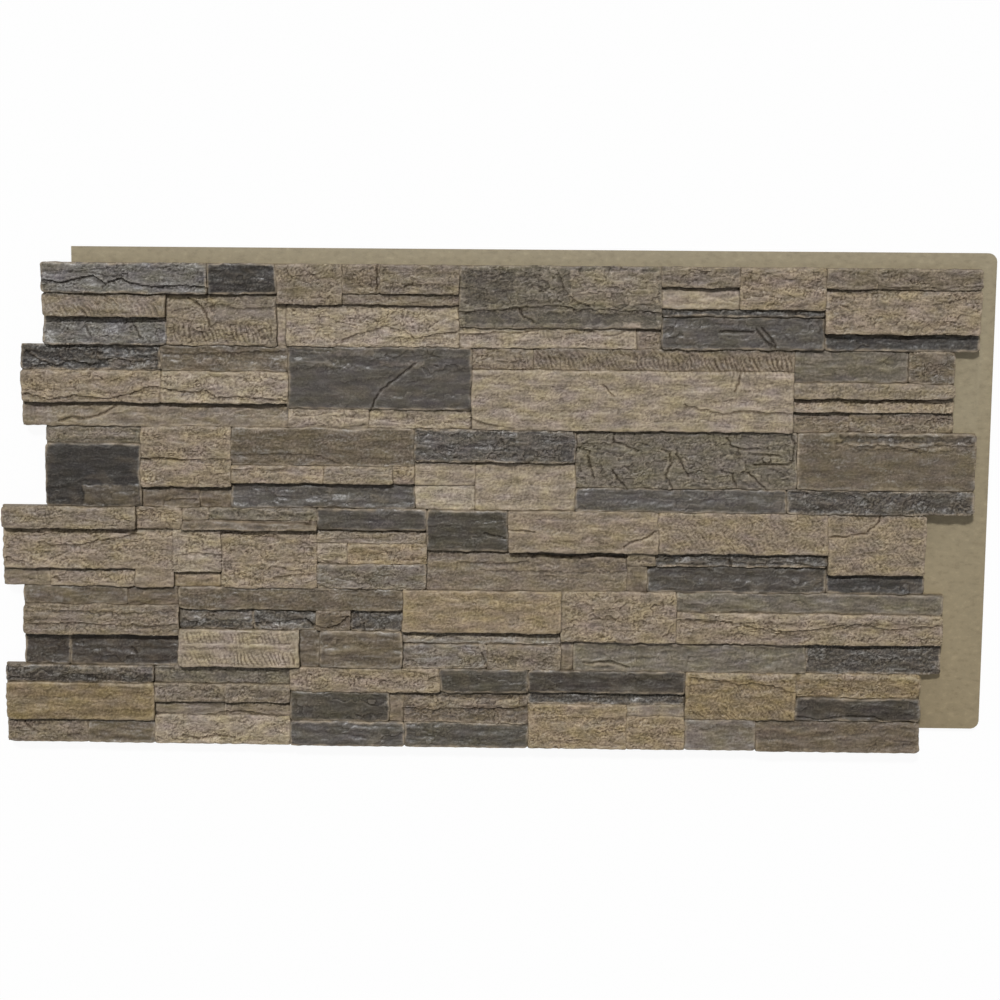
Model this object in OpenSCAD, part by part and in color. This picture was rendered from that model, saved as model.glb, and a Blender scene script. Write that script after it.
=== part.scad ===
// Faux ledgestone wall panel, moulded in one piece.
// It lies on its back: X runs along the courses, Y up the wall, Z out of the face.
// The origin is on the back, under the middle of the panel.

/* [Courses] */
// Height of one course
course_h = 101.6; // [95:0.1:110]
// Length of every course, which is also the pitch from panel to panel
course_l = 1160; // [1000:1:1300]
// Left end of course 1, at the top, measured in from the leftmost tooth
tooth_1 = 58; // [0:1:80]
// Left end of course 2
tooth_2 = 29; // [0:1:80]
// Left end of course 3
tooth_3 = 58; // [0:1:80]
// Left end of course 4
tooth_4 = 0; // [0:1:80]
// Left end of course 5
tooth_5 = 25; // [0:1:80]
// Left end of course 6, at the bottom
tooth_6 = 0; // [0:1:80]

/* [Flange and rabbet] */
// Thickness of the flange that the next panels lap over
flange_t = 8; // [6:0.5:10]
// Width of the flange above the top course
flange_top = 19.4; // [12:0.1:30]
// Width of the flange beyond the shortest course, at the right
flange_side = 78; // [60:1:100]
// Radius of the flange's two right-hand corners
flange_r = 11; // [4:1:20]
// Side lap that stays open beyond the neighbour's flange
lap_side = 14; // [5:1:30]
// Bottom lap that stays open beyond the neighbour's flange
lap_bottom = 9.6; // [3:0.1:20]
// Air between a neighbour's flange and the rabbet over it
rabbet_gap = 0.5; // [0.2:0.1:1.5]

/* [Stones] */
// Height of the mortar bed between the stones, above the back
bed_z = 15; // [14:0.5:17]
// Height of the highest stone above the back
face_z = 31.8; // [28:0.1:38]
// Width of the joints between stones
joint_w = 1.6; // [0.8:0.1:3]
// Width of the worn edge round each stone's face
edge_w = 2.6; // [1:0.1:4]
// Depth of the worn edge
edge_d = 1.8; // [0.5:0.1:2.5]
// Depth of the split waves along a stone
split_d = 1.2; // [0:0.1:2]
// Distance between the split waves
split_l = 38; // [25:1:80]

/* [Hidden] */
$fn = 48;

// Level of the bed in the drawing of the stones below
drawn_bed = 15;

TEETH = [tooth_1, tooth_2, tooth_3, tooth_4, tooth_5, tooth_6];

// Stones of each course, from the top course down. Each stone is
// [left, right, bottom, top, rise of its lower edge, rise of its upper edge],
// measured from the course's own lower left corner and from the panel's back.
COURSES = [
    [
        [0, 206, 64, 102, 30, 28], [206, 291, 64, 102, 26, 26],
        [0, 154, 35, 64, 30, 25], [0, 154, 0, 35, 25, 19],
        [154, 291, 0, 64, 24, 20], [291, 303, 0, 52, 19, 19],
        [291, 373, 52, 102, 27, 26], [373, 420, 66, 102, 27, 26],
        [420, 518, 66, 102, 29, 26], [373, 518, 52, 66, 25, 24],
        [303, 518, 0, 52, 25, 20], [518, 767, 25, 102, 24, 26],
        [518, 737, 0, 25, 23, 20], [737, 767, 0, 25, 20, 19],
        [767, 863, 77, 102, 29, 27], [767, 863, 50, 77, 26, 22],
        [863, 969, 50, 102, 28, 26], [767, 969, 41, 50, 23, 22],
        [767, 969, 0, 41, 24, 20], [969, 1031, 76, 102, 28, 28],
        [1031, 1160, 76, 102, 26, 28], [969, 1160, 21, 76, 28, 23],
        [969, 1160, 0, 21, 22, 18],
    ],
    [
        [0, 174, 70, 102, 22, 19], [174, 334, 70, 102, 22, 21],
        [0, 174, 30, 70, 26, 24], [174, 334, 30, 70, 27, 25],
        [0, 334, 0, 30, 22, 17], [334, 563, 24, 102, 25, 23],
        [334, 435, 0, 24, 23, 24], [435, 563, 0, 24, 22, 22],
        [563, 639, 75, 102, 22, 21], [639, 962, 75, 102, 21, 20],
        [563, 962, 0, 75, 27, 26], [962, 1103, 62, 102, 20, 19],
        [1103, 1160, 62, 102, 22, 21], [962, 1160, 43, 62, 29, 26],
        [962, 1160, 26, 43, 25, 19], [962, 1031, 0, 26, 21, 18],
        [1031, 1160, 0, 26, 22, 19],
    ],
    [
        [0, 120, 80, 102, 20, 20], [0, 120, 0, 80, 25, 24],
        [120, 233, 26, 102, 25, 23], [120, 193, 0, 26, 22, 18],
        [193, 233, 0, 26, 20, 17], [233, 463, 54, 102, 22, 23],
        [233, 349, 32, 54, 25, 24], [349, 436, 32, 54, 26, 24],
        [436, 463, 32, 54, 24, 23], [233, 463, 0, 32, 23, 18],
        [463, 664, 61, 102, 27, 25], [463, 539, 31, 61, 23, 22],
        [463, 539, 0, 31, 22, 21], [539, 664, 0, 61, 24, 21],
        [664, 939, 30, 102, 24, 22], [939, 1160, 30, 102, 25, 24],
        [664, 928, 0, 30, 27, 22], [928, 1160, 0, 30, 28, 23],
    ],
    [
        [0, 170, 74, 102, 30, 27], [170, 228, 74, 102, 23, 24],
        [228, 262, 86, 102, 24, 24], [262, 398, 86, 102, 24, 23],
        [228, 398, 74, 86, 28, 24], [0, 217, 23, 74, 25, 19],
        [0, 60, 0, 23, 21, 20], [60, 168, 0, 23, 23, 19],
        [168, 217, 0, 23, 25, 24], [217, 277, 44, 74, 24, 23],
        [217, 277, 20, 44, 26, 24], [217, 277, 0, 20, 21, 20],
        [277, 398, 0, 74, 26, 19], [398, 536, 76, 102, 25, 26],
        [398, 536, 58, 76, 23, 19], [398, 437, 32, 58, 21, 22],
        [437, 536, 32, 58, 24, 23], [398, 536, 0, 32, 25, 26],
        [536, 639, 50, 102, 24, 26], [536, 788, 0, 50, 23, 18],
        [639, 826, 50, 102, 30, 28],
        [826, 1038, 50, 102, 27, 26], [788, 823, 33, 50, 24, 25],
        [788, 813, 0, 33, 22, 22], [823, 1038, 33, 50, 23, 19],
        [813, 1038, 0, 33, 23, 18], [1038, 1160, 25, 102, 26, 25],
        [1038, 1160, 0, 25, 21, 17],
    ],
    [
        [0, 132, 78, 102, 20, 20], [132, 197, 78, 102, 21, 20],
        [0, 197, 40, 78, 28, 23], [0, 58, 0, 40, 21, 16],
        [58, 197, 0, 40, 21, 16], [197, 481, 74, 102, 24, 23],
        [197, 292, 48, 74, 22, 18], [292, 372, 48, 74, 23, 19],
        [372, 415, 48, 74, 26, 24], [415, 481, 48, 74, 22, 18],
        [197, 350, 0, 48, 29, 26], [350, 376, 0, 48, 22, 21],
        [376, 481, 0, 48, 26, 25], [481, 681, 48, 102, 28, 26],
        [481, 681, 32, 48, 22, 17], [481, 588, 0, 32, 22, 21],
        [588, 681, 0, 32, 24, 22], [681, 826, 37, 102, 26, 23],
        [681, 697, 0, 37, 20, 20], [697, 990, 0, 37, 25, 20],
        [826, 1160, 77, 102, 24, 23], [826, 1160, 37, 77, 26, 27],
        [990, 1160, 0, 37, 22, 17],
    ],
    [
        [0, 190, 79, 102, 24, 25], [0, 190, 31, 79, 25, 26],
        [0, 104, 0, 31, 22, 19], [104, 190, 0, 31, 23, 20],
        [190, 363, 79, 102, 20, 19], [190, 279, 56, 79, 25, 24],
        [279, 363, 56, 79, 26, 24], [190, 279, 38, 56, 21, 19],
        [279, 363, 38, 56, 22, 20], [190, 363, 0, 38, 24, 22],
        [363, 553, 71, 102, 25, 24], [553, 665, 71, 102, 23, 24],
        [363, 489, 32, 71, 22, 23], [489, 508, 32, 71, 20, 20],
        [508, 665, 32, 71, 23, 18], [363, 508, 0, 32, 27, 22],
        [508, 665, 0, 32, 26, 21], [665, 864, 73, 102, 25, 25],
        [665, 864, 58, 73, 21, 18], [665, 790, 0, 58, 26, 22],
        [790, 864, 44, 58, 24, 21], [790, 864, 0, 44, 26, 24],
        [864, 1003, 41, 102, 26, 25], [864, 953, 0, 41, 24, 24],
        [1003, 1160, 71, 102, 23, 22], [1003, 1160, 41, 71, 25, 27],
        [953, 1160, 0, 41, 27, 22],
    ],
];

// The drawing's own length, height and highest rise, which are stretched to the sizes above
drawn_l = max([for (s = COURSES[0]) s[1]]);
drawn_h = max([for (s = COURSES[0]) s[3]]);
drawn_top = max([for (c = COURSES, s = c) max(s[4], s[5])]);
face_h = len(COURSES) * course_h;
rabbet_z = flange_t + rabbet_gap;
rabbet_side = flange_side + lap_side;
rabbet_bottom = flange_top + lap_bottom;
panel_l = course_l + flange_side;
panel_h = face_h + flange_top;

function course_y(i) = face_h - (i + 1) * course_h;

// Steps down the right ends of the courses and back up the left ends
function bed_outline() = concat(
    [for (i = [0:len(TEETH) - 1]) each [
        [TEETH[i] + course_l, course_y(i) + course_h],
        [TEETH[i] + course_l, course_y(i)]]],
    [for (i = [len(TEETH) - 1:-1:0]) each [
        [TEETH[i], course_y(i)],
        [TEETH[i], course_y(i) + course_h]]]
);

// Real height of a rise as drawn
function rise(z) = bed_z + (z - drawn_bed) * (face_z - bed_z) / (drawn_top - drawn_bed);

// Height profile of a stone from its lower to its upper edge
function side_profile(h, low, high) =
    let (e = min(edge_w, h / 3))
    [
        [0, bed_z - 1], [0, low - edge_d], [e, low],
        [h / 2, (low + high) / 2 + split_d / 2],
        [h - e, high], [h, high - edge_d], [h, bed_z - 1]
    ];

// Height profile of a stone along its length, with shallow split waves
function length_profile(w, top, seed) =
    let (
        e = min(edge_w, w / 3),
        n = max(2, round(w / split_l)),
        dips = rands(0, split_d, n + 1, seed)
    )
    concat(
        [[0, bed_z - 1], [0, top - edge_d]],
        [for (i = [0:n]) [e + (w - 2 * e) * i / n, top + split_d / 2 - dips[i]]],
        [[w, top - edge_d], [w, bed_z - 1]]
    );

// One stone, standing on the bed with its lower left corner at the origin
module stone(w, h, low, high, seed) {
    intersection() {
        rotate([90, 0, 90])
            linear_extrude(w)
                polygon(side_profile(h, low, high));
        translate([0, h, 0])
            rotate([90, 0, 0])
                linear_extrude(h)
                    polygon(length_profile(w, max(low, high), seed));
    }
}

// All the stones of one course
module course(i) {
    along = course_l / drawn_l;
    up = course_h / drawn_h;
    for (k = [0:len(COURSES[i]) - 1]) {
        s = COURSES[i][k];
        translate([
            TEETH[i] + s[0] * along + joint_w / 2,
            course_y(i) + s[2] * up + joint_w / 2,
            0])
            stone(
                (s[1] - s[0]) * along - joint_w,
                (s[3] - s[2]) * up - joint_w,
                rise(s[4]),
                rise(s[5]),
                100 * i + k
            );
    }
}

// The bed that joins the stones, cut away at the back where it laps the neighbours
module bed() {
    difference() {
        linear_extrude(bed_z)
            polygon(bed_outline());
        translate([-1, -1, -1])
            cube([rabbet_side + 1, face_h + 2, rabbet_z + 1]);
        translate([-1, -1, -1])
            cube([panel_l + 2, rabbet_bottom + 1, rabbet_z + 1]);
    }
}

// The backing plate, which shows as a flange along the top and the right
module flange() {
    plate_l = panel_l - rabbet_side;
    plate_h = panel_h - rabbet_bottom;
    translate([rabbet_side, rabbet_bottom, 0])
        linear_extrude(flange_t) {
            square([plate_l - flange_r, plate_h]);
            translate([0, flange_r])
                square([plate_l, plate_h - 2 * flange_r]);
            for (y = [flange_r, plate_h - flange_r])
                translate([plate_l - flange_r, y])
                    circle(flange_r);
        }
}

module panel() {
    color("tan")
        translate([-panel_l / 2, -panel_h / 2, 0])
            union() {
                bed();
                flange();
                for (i = [0:len(COURSES) - 1])
                    course(i);
            }
}

panel();
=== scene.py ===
"""Faux ledgestone wall panel, lying on its back: split stones in six courses on a khaki backing."""

import math
from functools import partial

import bpy
import numpy as np
from bpy.props import FloatProperty, FloatVectorProperty, IntProperty, PointerProperty
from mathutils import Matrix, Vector


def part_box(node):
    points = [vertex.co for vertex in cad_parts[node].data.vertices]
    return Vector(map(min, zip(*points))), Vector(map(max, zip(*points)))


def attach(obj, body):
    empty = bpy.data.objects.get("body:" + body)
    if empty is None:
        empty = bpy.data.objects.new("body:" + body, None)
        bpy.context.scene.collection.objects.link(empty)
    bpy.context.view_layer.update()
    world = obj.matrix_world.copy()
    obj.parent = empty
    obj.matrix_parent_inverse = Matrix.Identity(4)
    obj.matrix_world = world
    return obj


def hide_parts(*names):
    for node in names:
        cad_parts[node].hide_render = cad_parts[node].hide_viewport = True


bl_info = {
    "name": "Faux ledgestone panel",
    "version": (1, 0, 0),
    "blender": (4, 5, 0),
    "location": "View3D > Sidebar > Stone panel",
    "description": "Builds the split stones, the backing and the stage of a moulded wall panel",
    "category": "Object",
}

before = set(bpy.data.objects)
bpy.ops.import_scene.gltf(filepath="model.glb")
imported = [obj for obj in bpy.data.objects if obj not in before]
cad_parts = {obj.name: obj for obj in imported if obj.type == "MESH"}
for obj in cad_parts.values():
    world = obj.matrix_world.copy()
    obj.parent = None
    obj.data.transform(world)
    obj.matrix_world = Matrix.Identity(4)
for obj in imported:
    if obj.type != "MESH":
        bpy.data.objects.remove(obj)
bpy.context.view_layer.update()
LOW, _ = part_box("panel")
MM = 0.001

# Left ends of the courses from the top one down, in mm from the leftmost end
TEETH = (58, 29, 58, 0, 25, 0)

# Stones of each course, from the top course down: left, right, bottom and top in mm from the
# course's lower left corner, rise of the lower and of the upper edge, paint, and the kind of its
# face where it isn't a plain split one
COURSES = (
    ((0, 206, 64, 102, 30, 28, "blue_grey"),
     (206, 291, 64, 102, 26, 26, "black", "smooth"),
     (0, 154, 35, 64, 30, 25, "brown_tan", "fringe"),
     (0, 154, 0, 35, 25, 19, "blue_grey"),
     (154, 291, 0, 64, 24, 20, "tan_grey", "chip"),
     (291, 303, 0, 52, 19, 19, "tan_light", "smooth"),
     (291, 373, 52, 102, 27, 26, "tan_grey"),
     (373, 420, 66, 102, 27, 26, "brown_grey"),
     (420, 518, 66, 102, 29, 26, "grey_brown"),
     (373, 518, 52, 66, 25, 24, "brown_tan", "ledge"),
     (303, 518, 0, 52, 25, 20, "tan_light"),
     (518, 767, 25, 102, 24, 26, "olive_grey", "chip"),
     (518, 737, 0, 25, 23, 20, "tan_light", "ledge"),
     (737, 767, 0, 25, 20, 19, "brown_tan"),
     (767, 863, 77, 102, 29, 27, "grey_brown"),
     (767, 863, 50, 77, 26, 22, "tan_light", "smooth"),
     (863, 969, 50, 102, 28, 26, "tan"),
     (767, 969, 41, 50, 23, 22, "black", "ledge"),
     (767, 969, 0, 41, 24, 20, "slate", "slate"),
     (969, 1031, 76, 102, 28, 28, "grey_brown"),
     (1031, 1160, 76, 102, 26, 28, "grey_brown"),
     (969, 1160, 21, 76, 28, 23, "tan"),
     (969, 1160, 0, 21, 22, 18, "black", "slate")),
    ((0, 174, 70, 102, 22, 19, "black"),
     (174, 334, 70, 102, 22, 21, "olive", "grain"),
     (0, 174, 30, 70, 26, 24, "tan"),
     (174, 334, 30, 70, 27, 25, "tan_light"),
     (0, 334, 0, 30, 22, 17, "brown_tan", "smooth"),
     (334, 563, 24, 102, 25, 23, "slate", "slate"),
     (334, 435, 0, 24, 23, 24, "tan_light", "ledge"),
     (435, 563, 0, 24, 22, 22, "tan_light", "ledge"),
     (563, 639, 75, 102, 22, 21, "brown_tan"),
     (639, 962, 75, 102, 21, 20, "brown_tan", "fringe"),
     (563, 962, 0, 75, 27, 26, "tan_light", "grain"),
     (962, 1103, 62, 102, 20, 19, "olive_grey", "smooth"),
     (1103, 1160, 62, 102, 22, 21, "olive"),
     (962, 1160, 43, 62, 29, 26, "tan_grey", "ledge"),
     (962, 1160, 26, 43, 25, 19, "tan"),
     (962, 1031, 0, 26, 21, 18, "brown_grey"),
     (1031, 1160, 0, 26, 22, 19, "brown_grey")),
    ((0, 120, 80, 102, 20, 20, "olive_grey", "ledge"),
     (0, 120, 0, 80, 25, 24, "black", "slate"),
     (120, 233, 26, 102, 25, 23, "tan"),
     (120, 193, 0, 26, 22, 18, "brown", "smooth"),
     (193, 233, 0, 26, 20, 17, "brown", "smooth"),
     (233, 463, 54, 102, 22, 23, "olive", "grain"),
     (233, 349, 32, 54, 25, 24, "tan", "ledge"),
     (349, 436, 32, 54, 26, 24, "tan_grey", "ledge"),
     (436, 463, 32, 54, 24, 23, "tan"),
     (233, 463, 0, 32, 23, 18, "slate", "slate"),
     (463, 664, 61, 102, 27, 25, "slate"),
     (463, 539, 31, 61, 23, 22, "tan_light", "grain"),
     (463, 539, 0, 31, 22, 21, "tan_pale", "grain"),
     (539, 664, 0, 61, 24, 21, "tan_light", "grain"),
     (664, 939, 30, 102, 24, 22, "olive_grey", "chip"),
     (939, 1160, 30, 102, 25, 24, "olive", "grain"),
     (664, 928, 0, 30, 27, 22, "slate", "slate"),
     (928, 1160, 0, 30, 28, 23, "charcoal")),
    ((0, 170, 74, 102, 30, 27, "tan_grey"),
     (170, 228, 74, 102, 23, 24, "tan"),
     (228, 262, 86, 102, 24, 24, "grey_brown"),
     (262, 398, 86, 102, 24, 23, "olive_grey"),
     (228, 398, 74, 86, 28, 24, "brown", "smooth"),
     (0, 217, 23, 74, 25, 19, "tan"),
     (0, 60, 0, 23, 21, 20, "tan_grey", "smooth"),
     (60, 168, 0, 23, 23, 19, "tan"),
     (168, 217, 0, 23, 25, 24, "tan", "smooth"),
     (217, 277, 44, 74, 24, 23, "tan_light"),
     (217, 277, 20, 44, 26, 24, "tan_light"),
     (217, 277, 0, 20, 21, 20, "ochre", "smooth"),
     (277, 398, 0, 74, 26, 19, "tan"),
     (398, 536, 76, 102, 25, 26, "slate", "slate"),
     (398, 536, 58, 76, 23, 19, "brown_tan", "ledge"),
     (398, 437, 32, 58, 21, 22, "tan_light"),
     (437, 536, 32, 58, 24, 23, "ochre"),
     (398, 536, 0, 32, 25, 26, "grey"),
     (536, 639, 50, 102, 24, 26, "olive_dark", "slate"),
     (536, 788, 0, 50, 23, 18, "brown_grey", "grain"),
     (639, 826, 50, 102, 30, 28, "tan", "grain"),
     (826, 1038, 50, 102, 27, 26, "tan", "comb"),
     (788, 823, 33, 50, 24, 25, "tan_grey"),
     (788, 813, 0, 33, 22, 22, "brown_grey", "smooth"),
     (823, 1038, 33, 50, 23, 19, "charcoal", "ledge"),
     (813, 1038, 0, 33, 23, 18, "charcoal", "slate"),
     (1038, 1160, 25, 102, 26, 25, "tan", "comb"),
     (1038, 1160, 0, 25, 21, 17, "black", "slate")),
    ((0, 132, 78, 102, 20, 20, "olive", "smooth"),
     (132, 197, 78, 102, 21, 20, "brown", "smooth"),
     (0, 197, 40, 78, 28, 23, "brown_grey"),
     (0, 58, 0, 40, 21, 16, "brown_dark", "slate"),
     (58, 197, 0, 40, 21, 16, "brown_dark", "slate"),
     (197, 481, 74, 102, 24, 23, "olive", "grain"),
     (197, 292, 48, 74, 22, 18, "charcoal"),
     (292, 372, 48, 74, 23, 19, "charcoal", "chip"),
     (372, 415, 48, 74, 26, 24, "brown", "chip"),
     (415, 481, 48, 74, 22, 18, "charcoal", "chip"),
     (197, 350, 0, 48, 29, 26, "tan_light", "grain"),
     (350, 376, 0, 48, 22, 21, "olive", "smooth"),
     (376, 481, 0, 48, 26, 25, "olive", "smooth"),
     (481, 681, 48, 102, 28, 26, "ochre", "grain"),
     (481, 681, 32, 48, 22, 17, "grey", "ledge"),
     (481, 588, 0, 32, 22, 21, "grey"),
     (588, 681, 0, 32, 24, 22, "grey_brown"),
     (681, 826, 37, 102, 26, 23, "tan", "chip"),
     (681, 697, 0, 37, 20, 20, "brown_tan", "smooth"),
     (697, 990, 0, 37, 25, 20, "olive_grey", "smooth"),
     (826, 1160, 77, 102, 24, 23, "olive_grey", "smooth"),
     (826, 1160, 37, 77, 26, 27, "tan"),
     (990, 1160, 0, 37, 22, 17, "charcoal")),
    ((0, 190, 79, 102, 24, 25, "charcoal"),
     (0, 190, 31, 79, 25, 26, "ochre_deep", "grain"),
     (0, 104, 0, 31, 22, 19, "brown_grey"),
     (104, 190, 0, 31, 23, 20, "olive", "smooth"),
     (190, 363, 79, 102, 20, 19, "olive_grey", "ledge"),
     (190, 279, 56, 79, 25, 24, "grey_brown"),
     (279, 363, 56, 79, 26, 24, "grey_brown"),
     (190, 279, 38, 56, 21, 19, "grey_brown", "smooth"),
     (279, 363, 38, 56, 22, 20, "brown_grey"),
     (190, 363, 0, 38, 24, 22, "tan_light"),
     (363, 553, 71, 102, 25, 24, "tan"),
     (553, 665, 71, 102, 23, 24, "olive_dark", "slate"),
     (363, 489, 32, 71, 22, 23, "olive_dark", "slate"),
     (489, 508, 32, 71, 20, 20, "brown_grey", "smooth"),
     (508, 665, 32, 71, 23, 18, "brown"),
     (363, 508, 0, 32, 27, 22, "slate", "slate"),
     (508, 665, 0, 32, 26, 21, "olive_dark", "slate"),
     (665, 864, 73, 102, 25, 25, "charcoal", "slate"),
     (665, 864, 58, 73, 21, 18, "charcoal", "ledge"),
     (665, 790, 0, 58, 26, 22, "ochre"),
     (790, 864, 44, 58, 24, 21, "tan_grey", "smooth"),
     (790, 864, 0, 44, 26, 24, "ochre"),
     (864, 1003, 41, 102, 26, 25, "ochre_deep", "comb"),
     (864, 953, 0, 41, 24, 24, "grey", "smooth"),
     (1003, 1160, 71, 102, 23, 22, "ochre_deep"),
     (1003, 1160, 41, 71, 25, 27, "charcoal", "slate"),
     (953, 1160, 0, 41, 27, 22, "brown", "smooth")),
)

# From here on, boxes are left, right, bottom and top, and points are x and y, all in mm from the
# panel's lower left corner.

# Cracks across stones, as points
CRACKS = (
    ((240, 567), (252, 558), (262, 545), (266, 532)),
    ((111, 530), (118, 517)),
    ((172, 532), (180, 516)),
    ((650, 557), (655, 547), (668, 540)),
    ((943, 535), (955, 518), (967, 510)),
    ((950, 536), (960, 525), (967, 512)),
    ((898, 530), (940, 531)),
    ((475, 608), (474, 579)),
    ((75, 412), (90, 418), (105, 415), (125, 419), (146, 432)),
    ((521, 488), (506, 475), (490, 464), (478, 452), (470, 442), (466, 428)),
    ((925, 480), (921, 468), (918, 456)),
    ((755, 463), (768, 450)),
    ((178, 366), (205, 367), (235, 365)),
    ((770, 404), (770, 392), (780, 389), (799, 382)),
    ((724, 386), (739, 380), (738, 365), (744, 348)),
    ((768, 357), (775, 346), (786, 334)),
    ((829, 384), (838, 381), (840, 365), (834, 350), (843, 335)),
    ((846, 378), (856, 361), (864, 350)),
    ((903, 357), (918, 354), (922, 338)),
    ((936, 355), (948, 345), (961, 334)),
    ((910, 398), (916, 388), (931, 385), (947, 385)),
    ((942, 378), (976, 377)),
    ((990, 404), (994, 390), (991, 370), (984, 366), (942, 366)),
    ((264, 294), (268, 289), (300, 289), (340, 288), (388, 286), (392, 293)),
    ((640, 281), (656, 281), (671, 279)),
    ((610, 276), (620, 273), (634, 270)),
    ((784, 260), (795, 269), (808, 272), (824, 282)),
    ((1040, 276), (1060, 276), (1085, 281), (1097, 292), (1102, 303)),
    ((916, 253), (918, 237)),
    ((160, 124), (167, 117)),
    ((384, 164), (394, 156), (412, 152), (425, 156), (437, 168)),
    ((508, 133), (550, 133), (602, 134)),
    ((612, 134), (655, 133), (705, 135)),
    ((606, 122), (613, 107)),
    ((735, 112), (768, 114), (792, 107)),
    ((20, 29), (28, 18), (39, 12)),
    ((226, 10), (245, 7), (268, 12), (292, 9)),
    ((1005, 46), (1032, 42), (1072, 47), (1104, 47), (1114, 42), (1152, 40)),
)

# Ledges, with a painted shadow just below each lip: depth in mm, how far the drop below them
# reaches, and points along the lip
LEDGES = (
    (4.5, 9, ((60, 588), (85, 585), (102, 591), (122, 593), (138, 585), (158, 592), (172, 584),
        (205, 581), (230, 583), (264, 580))),
    (1.5, 6, ((95, 600), (120, 598), (142, 593), (165, 597))),
    (1.2, 12, ((250, 561), (280, 558), (300, 555), (349, 557))),
    (2.2, 8, ((430, 517), (450, 524), (470, 530), (486, 535), (510, 529), (522, 519), (545, 524),
        (575, 529))),
    (2.6, 14, ((577, 553), (620, 556), (650, 559), (700, 561), (722, 556), (760, 558), (800, 556),
        (824, 553))),
    (2.2, 12, ((697, 604), (705, 583), (718, 569), (736, 562))),
    (1.8, 5, ((1095, 588), (1150, 587), (1217, 589))),
    (2.4, 9, ((36, 501), (52, 488), (70, 482), (95, 489), (120, 484), (145, 493), (170, 487),
        (199, 490))),
    (1.3, 12, ((201, 499), (240, 498), (300, 500), (361, 503))),
    (2.8, 9, ((31, 447), (50, 444), (62, 440), (100, 446), (140, 441), (165, 448), (190, 457),
        (215, 454), (240, 450), (262, 451), (275, 443), (300, 446), (330, 444), (361, 441))),
    (2.2, 10, ((855, 441), (880, 434), (905, 430), (930, 435), (960, 432), (989, 430))),
    (2.2, 6, ((590, 421), (615, 414), (645, 409))),
    (2.0, 9, ((178, 366), (205, 368), (235, 366), (262, 368), (291, 367))),
    (2.2, 5, ((206, 313), (222, 316), (249, 315))),
    (1.2, 8, ((293, 373), (340, 374), (400, 373), (418, 366), (430, 362))),
    (1.8, 9, ((1045, 397), (1068, 390), (1095, 392), (1140, 388), (1170, 394), (1217, 391))),
    (2.2, 8, ((60, 255), (98, 256), (120, 262), (145, 266), (172, 271))),
    (2.0, 6, ((220, 246), (250, 248), (276, 246))),
    (2.2, 6, ((345, 217), (372, 222), (396, 223))),
    (1.4, 5, ((575, 239), (600, 237), (640, 238), (664, 241))),
    (1.0, 8, ((604, 230), (680, 229), (740, 228), (786, 229))),
    (2.2, 6, ((27, 155), (100, 156), (160, 154), (221, 156))),
    (1.4, 7, ((27, 171), (80, 172), (150, 170), (221, 172))),
    (2.0, 7, ((318, 158), (350, 161), (384, 164), (396, 156))),
    (2.4, 13, ((853, 169), (880, 171), (920, 168), (950, 160), (990, 156), (1040, 161), (1080, 166),
        (1120, 160), (1185, 166))),
    (2.0, 8, ((191, 41), (230, 38), (250, 38), (275, 43), (300, 44), (330, 40), (363, 41))),
    (3.0, 10, ((508, 51), (545, 48), (570, 51), (620, 51), (665, 54))),
    (1.0, 10, ((667, 43), (700, 41), (740, 42), (789, 40))),
    (2.4, 9, ((870, 96), (910, 92), (930, 86), (950, 89), (975, 86), (1002, 76))),
)

# Broken facets and recesses: box, change in height in mm, paint, and how strongly it shows. Some
# grey patches on dark stones are painted glints and one dark band is a painted shadow, marked
# below.
FACETS = (
    (712, 822, 562, 605, 0.8, "tan_light", 0.5),
    (584, 645, 560, 606, -0.4, "charcoal", 0.5),
    (582, 820, 538, 553, -0.6, "olive_dark", 0.55),
    (778, 800, 533, 541, 0.8, "tan_light", 0.8),
    (272, 348, 538, 570, 0.5, "grey", 0.55),
    (1034, 1062, 540, 575, -0.8, "tan_grey", 0.6),
    (1080, 1118, 558, 583, -0.6, "tan_grey", 0.6),
    (138, 198, 478, 492, 0.6, "grey", 0.5),
    (31, 80, 476, 500, -1.4, "black", 0.75),
    (395, 470, 497, 508, 0.5, "grey", 0.4),
    # Painted glints along the dark slate stone, here and in the next line
    (478, 532, 483, 491, 0.6, "grey", 0.5),
    (364, 420, 484, 491, 0.5, "grey", 0.4),
    (104, 176, 306, 332, 0.9, "olive", 0.55),
    (62, 170, 389, 404, 0.6, "tan_grey", 0.5),
    (1050, 1213, 394, 403, -2.0, "olive_dark", 0.5),
    (1090, 1205, 385, 393, 0.8, "tan_grey", 0.5),
    # Painted shadow in the recess under the lip above
    (662, 786, 246, 253, -2.0, "brown_dark", 0.7),
    (577, 662, 238, 250, 1.0, "grey", 0.4),
    # Painted glints on the dark stone
    (225, 315, 161, 175, 0.8, "grey", 0.6),
    (322, 380, 150, 158, 0.8, "grey", 0.6),
    (226, 370, 127, 132, 1.0, "tan_light", 0.8),
    (518, 546, 138, 146, 0.5, "tan_light", 0.6),
    (708, 1012, 134, 138, 0.6, "tan_light", 0.8),
    (738, 776, 108, 113, 0.6, "tan_light", 0.6),
    (856, 1182, 166, 178, 0.8, "tan_light", 0.6),
    (120, 192, 75, 79, 0.4, "tan_light", 0.7),
    # Painted glints on the dark stone
    (80, 188, 90, 101, 0.5, "grey", 0.45),
    (398, 425, 84, 95, 0.5, "tan_light", 0.6),
    (288, 318, 59, 64, 0.8, "tan_light", 0.8),
    (512, 655, 54, 64, 0.8, "tan_light", 0.5),
    (506, 662, 30, 34, 0.6, "tan_light", 0.7),
    (880, 1000, 92, 101, 0.8, "tan_light", 0.7),
    (1008, 1156, 93, 101, 0.5, "tan_light", 0.5),
)

# Boxes where stones run on into each other without a worn edge
MERGED = ((0, 398, 226, 277), (168, 217, 203, 277))

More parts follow.
